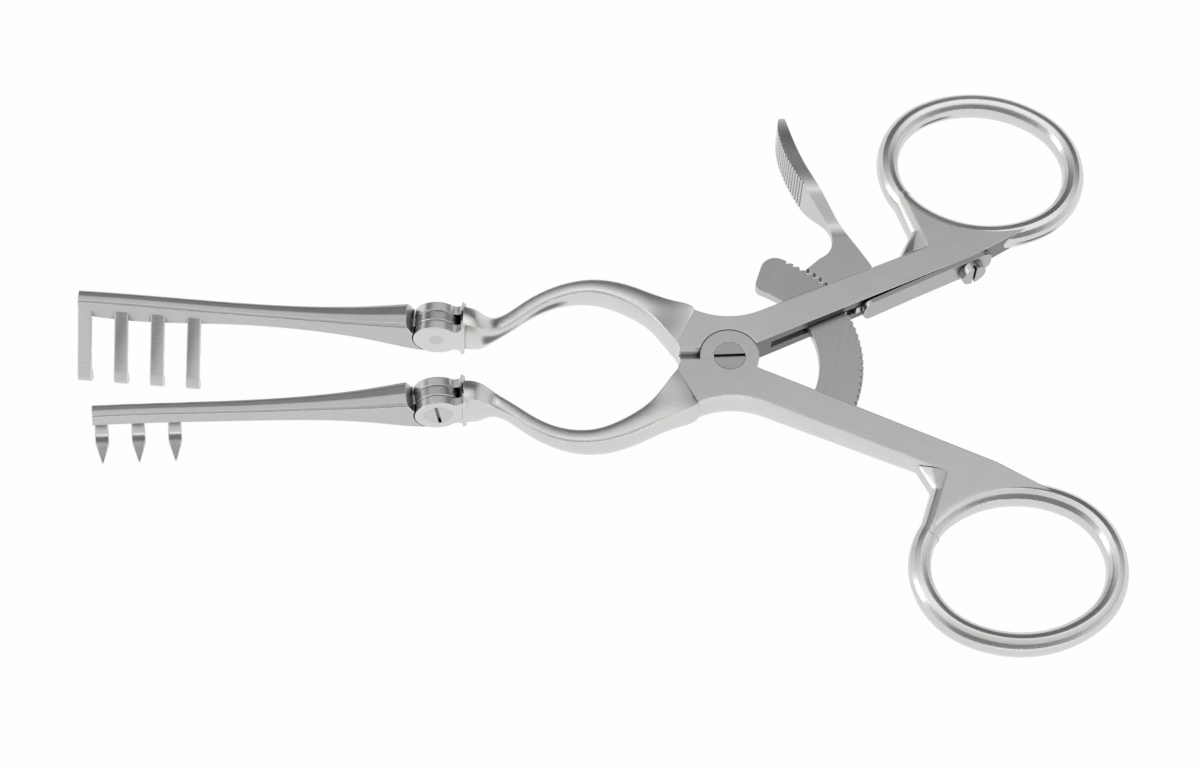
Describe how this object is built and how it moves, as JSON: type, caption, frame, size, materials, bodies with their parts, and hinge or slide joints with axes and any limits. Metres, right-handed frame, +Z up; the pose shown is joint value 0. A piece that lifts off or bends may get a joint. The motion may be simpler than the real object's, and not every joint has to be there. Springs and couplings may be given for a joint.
{
  "type": "self retaining retractor",
  "caption": "Self retaining retractor: swan-neck arms on a screw pivot with finger rings, a toothed arc and thumb release, and hinged blades with sharp hooked prongs.",
  "frame": {"origin": "on the pivot axis, at the flat underside of the joint", "axes": "+X from the pivot towards the finger rings, between the two handles; +Z up, away from the prongs, along the pivot screw towards its slotted head"},
  "size_m": [0.1597, 0.1008, 0.0193],
  "materials": {
    "forged_steel": "satin ground stainless steel",
    "blade_steel": "satin stainless steel",
    "plate_steel": "flat ground stainless steel",
    "lever_steel": "satin stainless steel",
    "spring_steel": "ground spring steel",
    "screw_steel": "turned and ground stainless steel"
  },
  "bodies": {
    "lower_half": {"lower_arm": "forged_steel", "ratchet_arc": "plate_steel", "ratchet_rivets": "screw_steel", "lower_hinge_screw": "screw_steel"},
    "upper_half": {"upper_arm": "forged_steel", "pivot_screw": "screw_steel", "lever_pin": "screw_steel", "leaf_spring": "spring_steel", "spring_screw": "screw_steel", "upper_hinge_screw": "screw_steel"},
    "lever": {"release_lever": "lever_steel"},
    "upper_blade": {"four_prong_blade": "blade_steel"},
    "lower_blade": {"three_prong_blade": "blade_steel"}
  },
  "joints": [
    {"name": "arm_pivot", "type": "hinge", "parent": "lower_half", "child": "upper_half", "pos_m": [0, 0, 0], "axis": [0, 0, -1], "range_deg": [-6, 40]},
    {"name": "lever_swing", "type": "hinge", "parent": "upper_half", "child": "lever", "pos_m": [0.0189, 0.01223, 0], "axis": [0, 0, -1], "range_deg": [0, 8], "stiffness_Nm_per_rad": 0.05, "springref_deg": -11.46},
    {"name": "upper_blade_tilt", "type": "hinge", "parent": "upper_half", "child": "upper_blade", "pos_m": [-0.04495, 0.00675, 0.0025], "axis": [0.0654, 0.9979, 0], "range_deg": [-60, 55]},
    {"name": "lower_blade_tilt", "type": "hinge", "parent": "lower_half", "child": "lower_blade", "pos_m": [-0.04495, -0.00675, 0.0025], "axis": [-0.0654, 0.9979, 0], "range_deg": [-60, 55]}
  ]
}
